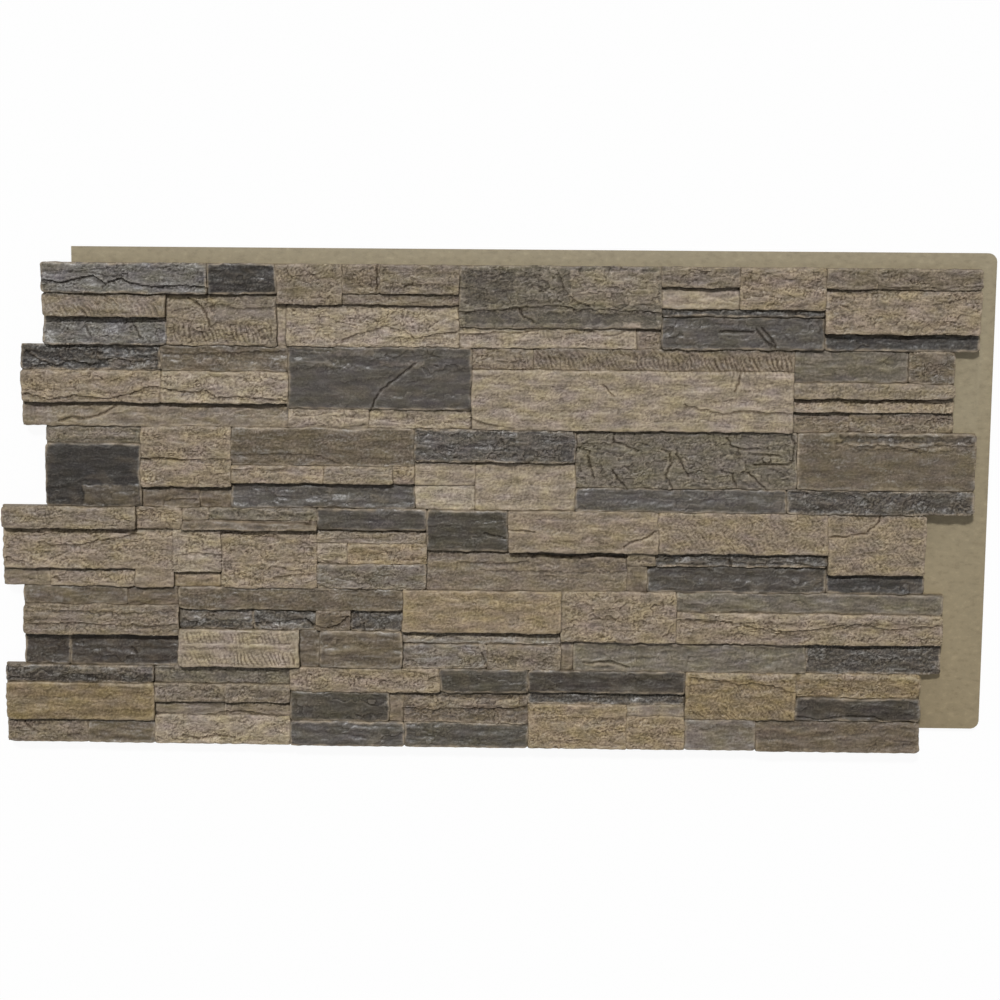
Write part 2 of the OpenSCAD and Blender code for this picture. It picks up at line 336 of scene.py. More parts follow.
# Places worn smooth: box, and how much of the split face is gone there
CALM = (
    (580, 822, 533, 553, 0.75),
    (58, 176, 333, 384, 0.5),
    (272, 348, 538, 570, 0.5),
    (996, 1218, 330, 384, 0.4),
    (363, 592, 432, 480, 0.5),
)

# Combed bands: box, and depth of the grooves in mm
STROKES = (
    (290, 372, 103, 121, 1.5),
    (226, 290, 104, 119, 0.6),
    (226, 368, 131, 146, 0.5),
    (216, 345, 511, 534, 1.3),
    (830, 990, 477, 499, 1.8),
    (640, 830, 478, 499, 1.0),
)

# Each kind of split face: how wrinkled it is where worn, and how much more where broken, the same
# for its fine grain, the shift of its mean plane in mm, and how strongly the paint's grain shows
SPLITS = {
    "split": (0.45, 1.8, 0.5, 0.9, -0.4, 1.0),
    "chip": (0.3, 1.2, 0.5, 0.8, 0.0, 1.0),
    "ledge": (0.5, 1.2, 1.0, 0.0, 0.0, 0.8),
    "slate": (0.1, 0.8, 0.5, 0.0, -0.2, 0.25),
    "grain": (0.15, 0.75, 0.8, 0.0, 0.0, 0.55),
    "fringe": (0.3, 0.6, 1.0, 0.0, 0.0, 0.6),
    "comb": (0.5, 0.5, 1.2, 0.0, 0.0, 0.8),
    "smooth": (0.1, 0.5, 0.55, 0.0, 0.0, 0.35),
}

# Where a higher neighbour casts painted shade on a stone: steps in mm to it, and how strongly
PAINTED_SHADE_STEPS = (
    (0.0, 1.6, 1.0), (0.0, 3.2, 0.8), (0.0, 5.0, 0.45), (1.6, 0.0, 0.6), (-1.6, 0.0, 0.6),
)

# Seeds of the noise: step from course to course and from stone to stone, and the one that merged
# stones share
COURSE_SEED, STONE_SEED, MERGED_SEED = 1000, 7, 4000

# Heights in the stone table: the mortar bed, and the range from it to the highest face
DRAWN_BED, DRAWN_RANGE = 15.0, 15.0

# Depths and lengths on a stone in mm
FACE_DROP = 0.9  # from the drawn plane to the face's mean
CORNER_DROP, CORNER_REACH = 1.6, 6.5
CRACK_DEPTH, CRACK_WIDTH = 2.4, 1.2
UNDER_TOP, OVER_BED = 0.15, 0.6  # least distance of a face from the highest plane and the bed
# Painted shade from higher neighbours: how far in it reaches, the least step that casts it, and the
# rise to full shade
PAINTED_SHADE_REACH = 6.5  # from a stone's edge inwards
PAINTED_SHADE_START, PAINTED_SHADE_RISE = 1.0, 3.5  # steps up that begin to darken, and from there darken fully
END_RADIUS = 4.5  # corners in plan at a course's ends
CLEAR_RIM = 3.0  # from an edge, where the wash is rubbed off
LOOSE_REACH = 9.0  # from the panel's left and lower edge, where joints begin to wander
FOOT_DEPTH = 1.0  # of a stone's walls below the bed's face

# Shares: height of a wall's middle row, its own paint and mortar, its dark wash and painted shade,
# what is left of the wash and painted shade on a rim, and of the brushed crests with painted
# highlights on slate
WALL_MIDDLE, WALL_PAINT, WALL_MORTAR, WALL_WASH_AND_SHADE = 0.45, 0.3, 0.65, 0.1
RIM_WASH_AND_SHADE, SLATE_BRUSH_AND_HIGHLIGHT = 0.3, 0.6

# How a stone's paint drifts between yellowish and purplish, for red, green and blue
YELLOW_SHIFT = (0.03, 0.04, -0.14)

# Finish of dark and of pale stones: paint that drifts over them and how strongly, width in mm and
# strength of the tan rims, radius in mm of the corners in plan, and strength of the glints, which
# are a painted sheen together with a glossy coat
DARK_FINISH = ("brown_tan", 0.2, 3.0, 0.85, 3.2, 1.0)
PALE_FINISH = ("grey", 0.35, 2.3, 0.5, 1.5, 0.35)
DARK_PAINTS = (
    "black", "charcoal", "slate", "blue_grey", "brown_dark", "olive_dark", "grey", "olive",
)

# In the group of paint nodes: the dark wash and painted shade in the hollows, and the painted sheen
# of the brushed crests
WASH_AND_SHADE_TINT = (0.30, 0.25, 0.20, 1.0)
PAINTED_SHEEN_TINT = (0.31, 0.30, 0.28, 1.0)

# On the backing, in metres: where its cut lies below the bed's face, the height above which it is
# mortar, and the heights up the wall between which the flange's paint changes
BED_CUT, MORTAR_FROM, FLANGE_FADE = 0.0001, 0.0084, (0.16, -0.24)

# Strength of the light from the sky, which the camera itself sees as white, and how much of the
# floor the camera sees as white
SKY_LIGHT, FLOOR_GLOW = 0.25, 0.94
FLOOR_SIZE, FLOOR_Z = 12.0, -0.0005

# Lamps: name, direction they shine from, strength and width in degrees
SUNS = (("key", (-0.15, 0.72, 1.0), 2.3, 6.0), ("fill", (0.5, -0.3, 1.0), 0.3, 40.0))

CAMERA_PLACE = (0.06, 0.3405, 2.501)
CAMERA_TURN = (-7.73, 1.24, 0.43)  # degrees
CAMERA_LENS, CAMERA_SENSOR, CAMERA_REACH = 72.0, 36.0, 50.0


def linear(value):
    """A screen value from 0 to 1 as a linear one."""
    if value <= 0.04045:
        return value / 12.92
    return ((value + 0.055) / 1.055) ** 2.4


def paint_setting(label, red, green, blue):
    """A colour property with its default written as 0 to 255 screen values."""
    return FloatVectorProperty(
        name=label,
        description=f"Colour of the stones painted {label.lower()}",
        subtype="COLOR",
        size=3,
        min=0.0,
        max=1.0,
        default=tuple(linear(c / 255.0) for c in (red, green, blue)),
    )


def length_setting(label, description, default):
    """A length property."""
    return FloatProperty(name=label, description=description, default=default, unit="LENGTH")


class StonePanelSettings(bpy.types.PropertyGroup):
    """Sizes and paints of the panel"""

    course_height: length_setting("Course height", "Height of one course", 0.1016)
    drawn_height: length_setting("Drawn height", "Course height in the stone table", 0.102)
    bed_height: length_setting("Bed height", "Mortar bed above the back", 0.015)
    face_height: length_setting("Face height", "Highest stone above the back", 0.0318)
    grid: length_setting(
        "Grid", "Distance between the points of a stone's face", 0.0014
    )
    relief: FloatProperty(
        name="Relief", description="Strength of the split faces", default=1.0, subtype="FACTOR"
    )
    tan: paint_setting("Tan", 134, 119, 98)
    tan_pale: paint_setting("Pale tan", 158, 145, 125)
    tan_light: paint_setting("Light tan", 146, 132, 112)
    tan_grey: paint_setting("Greyish tan", 124, 111, 92)
    ochre: paint_setting("Ochre", 137, 120, 93)
    ochre_deep: paint_setting("Deep ochre", 125, 108, 78)
    brown_tan: paint_setting("Brownish tan", 119, 106, 88)
    brown: paint_setting("Brown", 94, 81, 64)
    brown_grey: paint_setting("Brownish grey", 112, 99, 81)
    brown_dark: paint_setting("Dark brown", 56, 47, 37)
    grey_brown: paint_setting("Greyish brown", 114, 102, 85)
    olive: paint_setting("Olive", 98, 86, 68)
    olive_dark: paint_setting("Dark olive", 71, 65, 54)
    olive_grey: paint_setting("Olive grey", 102, 94, 80)
    grey: paint_setting("Grey", 115, 105, 91)
    charcoal: paint_setting("Charcoal", 63, 56, 47)
    slate: paint_setting("Slate", 75, 69, 62)
    blue_grey: paint_setting("Bluish grey", 97, 93, 88)
    black: paint_setting("Black", 45, 40, 35)
    flange: paint_setting("Flange", 150, 139, 114)
    flange_low: paint_setting("Flange at its lower end", 147, 133, 105)
    mortar: paint_setting("Mortar", 122, 108, 85)


def settings():
    return bpy.context.scene.stone_panel


def paint_value(name):
    return np.array(getattr(settings(), name))


def mixed(colour, paint, share):
    """A colour mixed with a paint, whose share is given for each point."""
    share = share[:, None]
    return colour * (1 - share) + paint_value(paint) * share


def hashed(i, j, seed):
    """A repeatable value from 0 to 1 for each pair of whole numbers."""
    n = (i * 374761393 + j * 668265263 + seed * 974634777) & 0xFFFFFFFF
    n = ((n ^ (n >> 13)) * 1274126177) & 0xFFFFFFFF
    return ((n ^ (n >> 16)) & 0xFFFFFF) / float(0xFFFFFF)


def limited(value):
    """The value kept from 0 to 1."""
    return np.clip(value, 0.0, 1.0)


def smoothstep(low, high, value):
    """0 up to low, 1 from high on, and an even curve between them."""
    t = limited((value - low) / (high - low))
    return t * t * (3.0 - 2.0 * t)


def whole(values):
    """The whole number at or below each value."""
    return np.floor(values).astype(np.int64)


def waves(x, y, seed):
    """Gradient noise from about -1 to 1 on cells one unit wide."""
    i, j = whole(x), whole(y)
    u, v = x - i, y - j
    su = u * u * u * (u * (u * 6 - 15) + 10)
    sv = v * v * v * (v * (v * 6 - 15) + 10)

    def corner(a, b):
        angle = hashed(i + a, j + b, seed) * 2.0 * math.pi
        return np.cos(angle) * (u - a) + np.sin(angle) * (v - b)

    low = corner(0, 0) * (1 - su) + corner(1, 0) * su
    high = corner(0, 1) * (1 - su) + corner(1, 1) * su
    return (low * (1 - sv) + high * sv) * 1.6


def patches(low, high, x, y, seed):
    """Noise hardened into patches, 0 between them and 1 on them."""
    return smoothstep(low, high, waves(x, y, seed))


def fractal(x, y, seed, octaves=3):
    """Noise with finer and fainter noise over it."""
    total = 0.0
    strength = 1.0
    for octave in range(octaves):
        total = total + strength * waves(x * 2**octave, y * 2**octave, seed + 31 * octave)
        strength *= 0.5
    return total


def ridges(x, y, seed, octaves=2):
    """Sharp crests from 0 to 1."""
    total = 0.0
    strength = 0.65
    for octave in range(octaves):
        crest = 1.0 - np.abs(waves(x * 2**octave, y * 2**octave, seed + 17 * octave))
        total = total + strength * crest * crest
        strength *= 0.5
    return total


def cells_around(u, v, margin, seed):
    """The nine cells at each point: numbers of the cell, and the way from its random centre."""
    i, j = whole(u), whole(v)
    room = 1 - 2 * margin
    for a in (-1, 0, 1):
        for b in (-1, 0, 1):
            centre_u = i + a + margin + room * hashed(i + a, j + b, seed)
            centre_v = j + b + margin + room * hashed(i + a, j + b, seed + 1)
            yield i + a, j + b, u - centre_u, v - centre_v


def crackle(x, y, seed):
    """Small uneven cells with sunken seams, from 0 to 1."""
    u = x + 0.4 * waves(x * 0.9, y * 0.9, seed + 3)
    v = y + 0.4 * waves(x * 1.1, y * 1.1, seed + 5)
    first = np.full(u.shape, 9.0)
    second = np.full(u.shape, 9.0)
    for _, _, du, dv in cells_around(u, v, 0.0, seed):
        distance = np.hypot(du, dv)
        second = np.minimum(second, np.maximum(first, distance))
        first = np.minimum(first, distance)
    return limited((second - first) * 1.6)


def chips(x, y, size_x, size_y, seed):
    """Flat, tilted flakes with steps between them, about -1 to 1."""
    u = x / size_x + 0.35 * waves(x / 11, y / 8, seed + 5)
    v = y / size_y + 0.35 * waves(x / 13, y / 7, seed + 9)
    nearest = np.full(u.shape, np.inf)
    height = np.zeros(u.shape)
    for i, j, du, dv in cells_around(u, v, 0.15, seed):
        distance = du * du + dv * dv
        level = hashed(i, j, seed + 2) * 1.6 - 0.8
        tilt = (hashed(i, j, seed + 3) - 0.5) * 1.6 * du
        tilt = tilt + (hashed(i, j, seed + 4) - 0.5) * 2.2 * dv
        closer = distance < nearest
        nearest = np.where(closer, distance, nearest)
        height = np.where(closer, level + tilt, height)
    return height


def strata(x, y, thickness, seed):
    """Level steps that run along the stone, about -1 to 1."""
    t = y / thickness + 0.8 * fractal(x / 48, y / 14, seed)
    k = whole(t)
    step = smoothstep(0.7, 1.0, t - k)
    return (hashed(k, k * 0, seed) * (1 - step) + hashed(k + 1, k * 0, seed) * step) * 2.0 - 1.0


def relief(split, x, y, seed):
    """Height in mm of a split face over its mean plane."""
    fine = 0.46 * fractal(x / 4.0, y / 3.0, seed + 71, 2)
    bent_x = x + 2.2 * waves(x / 19, y / 13, seed + 73)
    bent_y = y + 2.2 * waves(x / 15, y / 17, seed + 75)
    wrinkle = 0.5 * ridges(bent_x / 5.6, bent_y / 4.2, seed + 77) - 0.68
    wrinkle = wrinkle + 0.8 * crackle(bent_x / 5.2, bent_y / 3.7, seed + 78)
    wrinkle = wrinkle * (0.25 + 0.75 * patches(-0.3, 0.35, x / 7.5, y / 5.0, seed + 84))
    patch = patches(-0.25, 0.4, x / 34, y / 19, seed + 79)
    if split == "split":
        form = 0.8 * chips(x, y, 34, 15, seed) + 1.4 * fractal(x / 48, y / 17, seed + 11)
        form += 0.5 * ridges(bent_x / 21, bent_y / 6, seed + 23)
    elif split == "chip":
        form = 1.1 * chips(x, y, 30, 17, seed) + 0.5 * chips(x, y, 13, 8, seed + 40)
        form += 0.8 * fractal(x / 40, y / 20, seed + 11, 2)
    elif split == "ledge":
        form = 1.2 * strata(x, y, 9.0, seed) + 0.9 * fractal(x / 40, y / 12, seed + 11)
    elif split == "slate":
        form = 0.7 * chips(x, y, 60, 18, seed) + 0.7 * fractal(x / 60, y / 10, seed + 11)
        form += 0.3 * ridges(bent_x / 26, y / 6, seed + 23)
    elif split == "grain":
        form = 1.3 * fractal(x / 60, y / 18, seed, 2)
        form += 0.22 * fractal(x / 40, y / 4.2, seed + 11, 2)
        form += 0.35 * chips(x, y, 45, 14, seed + 3)
    elif split in ("fringe", "comb"):
        form = fractal(x / 40, y / 14, seed + 11, 2)
        lean = x + 0.8 * y + 2.5 * waves(x / 17, y / 11, seed + 83)
        if split == "fringe":
            band = patches(-0.3, 0.3, x / 50, y / 15, seed + 87)
            form = 0.9 * form + (1.0 + 2.0 * band) * (ridges(lean / 7.0, y / 24, seed + 85) - 0.45)
        else:
            form = 0.8 * form + (0.6 + 1.2 * patch) * (ridges(lean / 4.6, y / 15, seed + 85) - 0.4)
    else:
        form = 1.3 * fractal(x / 50, y / 15, seed) + 0.4 * chips(x, y, 50, 17, seed + 3)
    worn, broken, fine_worn, fine_broken, shift, _ = SPLITS[split]
    form += (worn + broken * patch) * wrinkle + shift
    return form + (fine_worn + fine_broken * patch) * fine


def inside_box(x, y, box):
    """Distance in mm to the nearest side of a box, negative outside it."""
    left, right, bottom, top = box
    return np.minimum(np.minimum(x - left, right - x), np.minimum(y - bottom, top - y))


def combed(x, y, box):
    """0 to 1, the grooves of a combed band that lean to the left."""
    inside = smoothstep(-1.0, 3.0, inside_box(x, y, box) + 1.5 * waves(x / 8, y / 9, 41))
    along = (x + 0.35 * y) / 5.4 + 0.5 * waves(x / 23, y / 16, 43)
    k = whole(along)
    groove = smoothstep(0.35, 0.95, 1.0 - 2.0 * np.abs(along - k - 0.5))
    return inside * groove * (0.15 + 0.85 * hashed(k, k * 0, 47))


def rounded(x, y, box, inner_radius, left_end, right_end):
    """Points of a stone moved in plan so that its corners are round, more so at a course's end."""
    x0, x1, y0, y1 = box
    x, y = x.copy(), y.copy()
    for cx, way_x, end in ((x0, 1.0, left_end), (x1, -1.0, right_end)):
        radius = min(END_RADIUS if end else inner_radius, 0.4 * (x1 - x0), 0.4 * (y1 - y0))
        for cy, way_y in ((y0, 1.0), (y1, -1.0)):
            u = radius - (x - cx) * way_x
            v = radius - (y - cy) * way_y
            near = (u > 0) & (v > 0)
            shrink = np.maximum(u, v)[near] / np.hypot(u, v)[near]
            x[near] = cx + (radius - u[near] * shrink) * way_x
            y[near] = cy + (radius - v[near] * shrink) * way_y
    return x, y


def warped(x, y):
    """Points moved so that joints wander, but not across the panel's left and lower edge."""
    loose_x = smoothstep(0.0, LOOSE_REACH, x)
    loose_y = smoothstep(0.0, LOOSE_REACH, y)
    shift_x = 1.3 * waves(x / 27, y / 33, 7) + 0.7 * waves(x / 8, y / 9, 8)
    shift_y = 1.1 * waves(x / 41, y / 21, 9) + 0.7 * waves(x / 10, y / 8, 10)
    inward = 1.1 + 1.1 * waves(x / 9, y / 7, 12)
    return (
        x + shift_x * loose_x + inward * (1 - loose_x),
        y + shift_y * loose_y + 0.5 * inward * (1 - loose_y),
    )


def drop_below(x, y, points, reach):
    """1 just below a line that runs to the right, fading to 0 over its reach, 0 above it."""
    xs, ys = zip(*points)
    below = np.interp(x, xs, ys) + 1.2 * waves(x / 7, y / 30, 19) - y
    ends = smoothstep(xs[0] - 3.0, xs[0] + 1.0, x) * smoothstep(xs[-1] + 3.0, xs[-1] - 1.0, x)
    return ends * smoothstep(-0.4, 0.9, below) * np.exp(-np.maximum(below, 0.0) / reach)


def distance_to_line(x, y, points):
    """Distance in mm to the nearest stretch of a line through points."""
    best = np.full(x.shape, np.inf)
    for (ax, ay), (bx, by) in zip(points, points[1:]):
        dx, dy = bx - ax, by - ay
        along = limited(((x - ax) * dx + (y - ay) * dy) / (dx * dx + dy * dy))
        best = np.minimum(best, np.hypot(x - ax - along * dx, y - ay - along * dy))
    return best


def course_foot(i):
    """Height in mm of the foot of a course over the lowest one's, 0 for the top course."""
    return (len(COURSES) - 1 - i) * settings().course_height / MM


def drawn_rise(x, y):
    """Rise in the stone table at points in mm from the panel's lower left corner."""
    s = settings()
    course = len(COURSES) - 1 - whole(y / (s.course_height / MM))
    height = np.full(x.shape, s.bed_height / MM)
    for i, stones in enumerate(COURSES):
        rows = course == i
        if not rows.any():
            continue
        across = x[rows] - TEETH[i]
        up = (y[rows] - course_foot(i)) / (s.course_height / s.drawn_height)
        found = height[rows]
        for left, right, bottom, top, low, high, *_ in stones:
            inside = (across >= left) & (across < right) & (up >= bottom) & (up < top)
            found = np.where(inside, low + (high - low) * ((up - bottom) / (top - bottom)), found)
        height[rows] = found
    return height


def painted_overhang_shade(x, y, edge, drawn):
    """0 to 1, how much painted shade higher neighbours cast on the points near a stone's edge."""
    dark = np.zeros(len(x))
    near = edge < PAINTED_SHADE_REACH
    for step_x, step_y, strength in PAINTED_SHADE_STEPS:
        above = drawn_rise(x[near] + step_x, y[near] + step_y) - drawn[near] - PAINTED_SHADE_START
        share = strength * limited(above / PAINTED_SHADE_RISE)
        dark[near] = np.maximum(dark[near], share)
    return dark


def edit_all(piece):
    """Puts a piece in edit mode with all of it selected."""
    bpy.context.view_layer.objects.active = piece
    bpy.ops.object.mode_set(mode="EDIT")
    bpy.ops.mesh.select_all(action="SELECT")


def face_outwards():
    """Turns the faces of the mesh in edit mode outwards and leaves edit mode."""
    bpy.ops.mesh.select_all(action="SELECT")
    bpy.ops.mesh.normals_make_consistent(inside=False)
    bpy.ops.object.mode_set(mode="OBJECT")


def select_nothing():
    if bpy.context.object and bpy.context.object.mode != "OBJECT":
        bpy.ops.object.mode_set(mode="OBJECT")
    bpy.ops.object.select_all(action="DESELECT")


def add_block(width, height, centre, columns, rows):
    """A block with a gridded face at z 0, walls in two rows, and a closed foot at z -2."""
    select_nothing()
    bpy.ops.mesh.primitive_grid_add(x_subdivisions=columns, y_subdivisions=rows, size=1.0)
    block = bpy.context.object
    edit_all(block)
    bpy.ops.transform.resize(value=(width, height, 1.0))
    bpy.ops.transform.translate(value=(*centre, 0.0))
    bpy.ops.mesh.region_to_loop()
    for _ in range(2):
        bpy.ops.mesh.extrude_edges_move(TRANSFORM_OT_translate={"value": (0.0, 0.0, -1.0)})
    bpy.ops.mesh.edge_face_add()
    face_outwards()
    return block


def read_points(mesh):
    """A mesh's points as rows of x, y and z."""
    co = np.empty(len(mesh.vertices) * 3, np.float32)
    mesh.vertices.foreach_get("co", co)
    return co.reshape(-1, 3).astype(np.float64)


def blurred(grid, radius):
    """Box blur of a grid of heights."""
    size = 2 * radius + 1
    padded = np.pad(grid, radius, mode="edge")
    total = np.cumsum(padded, axis=0)
    total = np.vstack([total[size - 1:size], total[size:] - total[:-size]])
    total = np.cumsum(total, axis=1)
    total = np.hstack([total[:, size - 1:size], total[:, size:] - total[:, :-size]])
    return total / (size * size)


def crests_and_hollows(heights):
    """How far each point of a grid stands out of its surroundings, and how far it lies in them."""
    near = heights - blurred(heights, 1)
    wide = heights - blurred(heights, 3)
    crest = limited(near / 0.22) * 0.6 + limited(wide / 0.6) * 0.5
    hollow = limited(-near / 0.25) * 0.55 + limited(-wide / 0.8) * 0.5
    return limited(crest).ravel(), hollow.ravel()


def carved(x, y, z, colour, seed):
    """A face's height, paint, and dark wash with painted shade, with the panel's facets, bands,
    cracks and ledges cut in and a painted shadow below each ledge's lip.
    """
    wash_and_shade = np.zeros(len(x))
    for *box, lift, paint, share in FACETS:
        mask = smoothstep(-1.0, 2.5, inside_box(x, y, box) + 2.5 * waves(x / 9, y / 6, seed + 61))
        z = z + lift * mask
        colour = mixed(colour, paint, mask * share)
    for *box, depth in STROKES:
        cut = combed(x, y, box)
        z = z - depth * cut
        # Dark wash and painted shade in the combed grooves
        wash_and_shade = np.maximum(wash_and_shade, 0.9 * cut)
    for points in CRACKS:
        near = distance_to_line(x + 1.5 * waves(x / 6, y / 6, 5), y, points)
        cut = np.exp(-((near / CRACK_WIDTH) ** 2))
        z = z - CRACK_DEPTH * cut
        # Dark wash and painted shade in the crack
        wash_and_shade = np.maximum(wash_and_shade, cut)
    for depth, reach, points in LEDGES:
        drop = drop_below(x, y, points, reach)
        z = z - depth * drop
        # Painted shadow just below each ledge's lip
        wash_and_shade = np.maximum(wash_and_shade, 0.65 * limited(drop * 3.0 - 2.0))
    return z, colour, wash_and_shade


def painted(colour, finish, x, y, free_edge, overhang_shade, seed):
    """A stone's paint made uneven, with rims where its edges are worn and painted shade where a
    higher neighbour overhangs it.
    """
    tone = fractal(x / 24, y / 12, seed + 81)
    tint = fractal(x / 40, y / 22, seed + 91, 2)
    hue = fractal(x / 33, y / 15, seed + 101, 2)
    colour = colour * (1.0 + 0.22 * tone)[:, None] * (1.0 + hue[:, None] * np.array(YELLOW_SHIFT))
    drift, drift_most, rim_width, rim_most, *_ = finish
    colour = mixed(colour, drift, drift_most * smoothstep(0.25, 0.8, tint))
    width = (rim_width + 1.6 * tone.clip(-0.8, 1.5)).clip(0.6, 5.0)
    rim = smoothstep(0.0, 0.7, 1.0 - free_edge / width)
    rim *= 0.3 + 0.7 * patches(-0.35, 0.25, x / 17, y / 13, seed + 131)
    colour = mixed(colour, "tan_light", rim_most * rim)
    # Painted shade below higher neighbours, warmed a little with the mortar colour
    colour *= (1.0 - 0.7 * overhang_shade)[:, None]
    return colour + paint_value("mortar") * (0.07 * overhang_shade)[:, None]


def make_stone(row, tooth, course_y, seed):
    """One split stone with its paint, brushed crests with painted highlights, and dark wash with
    painted shade stored on its points.
    """
    s = settings()
    left, right, bottom, top, low, high, paint, split = (*row, "split")[:8]
    finish = DARK_FINISH if paint in DARK_PAINTS else PALE_FINISH
    *_, radius, shine = finish
    stretch = s.course_height / s.drawn_height
    x0, x1 = tooth + left, tooth + right
    y0, y1 = course_y + bottom * stretch, course_y + top * stretch
    own_box = (x0, x1, y0, y1)
    middle = ((x0 + x1) / 2, (y0 + y1) / 2)
    columns, rows = (max(4, round(size / (s.grid / MM))) for size in (x1 - x0, y1 - y0))
    block = add_block(x1 - x0, y1 - y0, middle, columns, rows)
    mesh = block.data
    co = read_points(mesh)
    x, y = co[:, 0].copy(), co[:, 1].copy()
    level = np.rint(-co[:, 2]).astype(int)

    edge = free_edge = inside_box(x, y, own_box)
    for box in MERGED:
        if inside_box(*middle, box) > 0:
            free_edge = np.maximum(free_edge, inside_box(x, y, box))
            seed = MERGED_SEED

    # Height of the face
    bed, face = s.bed_height / MM, s.face_height / MM
    drawn = low + (high - low) * ((y - y0) / (y1 - y0))
    bumps = relief(split, x, y, seed) * s.relief
    for *box, share in CALM:
        bumps *= 1.0 - share * smoothstep(-2.0, 6.0, inside_box(x, y, box))
    z = bed + (drawn - DRAWN_BED) * ((face - bed) / DRAWN_RANGE) - FACE_DROP + bumps
    worn = np.clip(2.2 + 1.3 * fractal(x / 15, y / 15, seed + 51, 2), 1.0, 5.0)
    depth = 0.5 + 0.9 * patches(-0.4, 0.4, x / 21, y / 15, seed + 141)
    z -= depth * limited(1.0 - free_edge / worn) ** 1.6
    corner = np.hypot(np.minimum(x - x0, x1 - x), np.minimum(y - y0, y1 - y))
    z -= CORNER_DROP * limited(1.0 - corner / CORNER_REACH) * (free_edge == edge)
    colour = np.tile(paint_value(paint), (len(x), 1))
    z, colour, wash_and_shade = carved(x, y, z, colour, seed)
    z = np.maximum(np.minimum(z, face - UNDER_TOP), bed + OVER_BED)

    # Dark wash and painted shade in the hollows, dry-brushed paint and painted highlights on the
    # crests
    top_points = np.where(level == 0)[0]
    if len(top_points) != (rows + 1) * (columns + 1):
        raise RuntimeError(f"a stone's face has {len(top_points)} points in {rows} rows of cells")
    order = top_points[np.lexsort((x[top_points], y[top_points]))]
    crest, hollow = crests_and_hollows(z[order].reshape(rows + 1, columns + 1))
    brush_and_highlight = np.zeros(len(x))
    brush_and_highlight[order] = crest * (SLATE_BRUSH_AND_HIGHLIGHT if split == "slate" else 1.0)
    wash_and_shade[order] = limited(wash_and_shade[order] + hollow)

    # Paint, with painted shade below higher neighbours
    overhang_shade = painted_overhang_shade(x, y, edge, drawn)
    colour = painted(colour, finish, x, y, free_edge, overhang_shade, seed)
    wash_and_shade[free_edge < CLEAR_RIM] *= RIM_WASH_AND_SHADE
    walls = level > 0
    colour[walls] = colour[walls] * WALL_PAINT + paint_value("mortar") * WALL_MORTAR
    wash_and_shade[walls] = WALL_WASH_AND_SHADE
    rough = SPLITS[split][-1] * (1.0 + 0.5 * waves(x / 26, y / 14, seed + 111))
    # Patches of glint: a painted sheen in the colour, with lower roughness and a glossy coat
    glint = 0.2 + 0.8 * patches(-0.15, 0.45, x / 26, y / 10, seed + 121)
    store(mesh, limited(colour), brush_and_highlight, wash_and_shade, np.clip(rough, 0, 1.4), shine * glint)

    # Place of the points
    rx, ry = rounded(x, y, own_box, radius, left == 0, right == COURSES[0][-1][1])
    merged = free_edge > edge + 1.0
    px, py = warped(np.where(merged, x, rx), np.where(merged, y, ry))
    foot = np.full(len(x), bed - FOOT_DEPTH)
    z = np.choose(level, [z, bed + (z - bed) * WALL_MIDDLE, foot])
    co = np.stack([LOW[0] + px * MM, LOW[1] + py * MM, z * MM], axis=1)
    mesh.vertices.foreach_set("co", co.astype(np.float32).ravel())
    mesh.update()
    return block


def store(mesh, colour, brush_and_highlight, wash_and_shade, rough, glint):
    """Keeps paint, brushed crests with painted highlights, dark wash with painted shade, grain and
    glint on the mesh's points for the materials.
    """
    layer = mesh.color_attributes.new("paint", "FLOAT_COLOR", "POINT")
    colour = np.hstack([colour, np.ones((len(colour), 1))])
    layer.data.foreach_set("color", colour.astype(np.float32).ravel())
    for name, values in (("brush_and_highlight", brush_and_highlight), ("wash_and_shade", wash_and_shade), ("rough", rough), ("glint", glint)):
        layer = mesh.attributes.new(name, "FLOAT", "POINT")
        layer.data.foreach_set("value", values.astype(np.float32))


def join(objects, name):
    select_nothing()
    for part in objects:
        part.select_set(True)
    bpy.context.view_layer.objects.active = objects[0]
    bpy.ops.object.join()
    piece = bpy.context.object
    piece.name = piece.data.name = name
    return piece


def declare(piece, material):
    """The piece belongs to the panel's one body and stands for its solid."""
    piece.data.materials.clear()
    piece.data.materials.append(material)
    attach(piece, "root")
    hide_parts("panel")


def add_node(tree, kind, **values):
    node = tree.nodes.new(kind)
    for key, value in values.items():
        setattr(node, key, value)
    return node


def feed(tree, socket, value):
    """Links a socket to another one, or gives it a plain value."""
    if isinstance(value, bpy.types.NodeSocket):
        tree.links.new(value, socket)
    else:
        socket.default_value = value


def math_node(tree, operation, first, second, clamp=False):
    node = add_node(tree, "ShaderNodeMath", operation=operation, use_clamp=clamp)
    feed(tree, node.inputs[0], first)
    feed(tree, node.inputs[1], second)
    return node.outputs[0]


def mix_colours(tree, factor, first, second, blend="MIX"):
    """The colour sockets of a Mix node come after those for numbers and vectors."""
    node = add_node(tree, "ShaderNodeMix", data_type="RGBA", blend_type=blend)
    for number, value in ((0, factor), (6, first), (7, second)):
        feed(tree, node.inputs[number], value)
    return node.outputs[2]


def ramp_value(tree, value, low, high):
    """0 at low and 1 at high, evened out between them."""
    node = add_node(tree, "ShaderNodeMapRange", interpolation_type="SMOOTHSTEP")
    for name, given in (("Value", value), ("From Min", low), ("From Max", high)):
        feed(tree, node.inputs[name], given)
    return node.outputs["Result"]


def noise_value(tree, place, scale, detail, roughness):
    node = add_node(tree, "ShaderNodeTexNoise")
    for name, value in (
        ("Scale", scale), ("Detail", detail), ("Roughness", roughness), ("Vector", place)
    ):
        feed(tree, node.inputs[name], value)
    return node.outputs["Fac"]


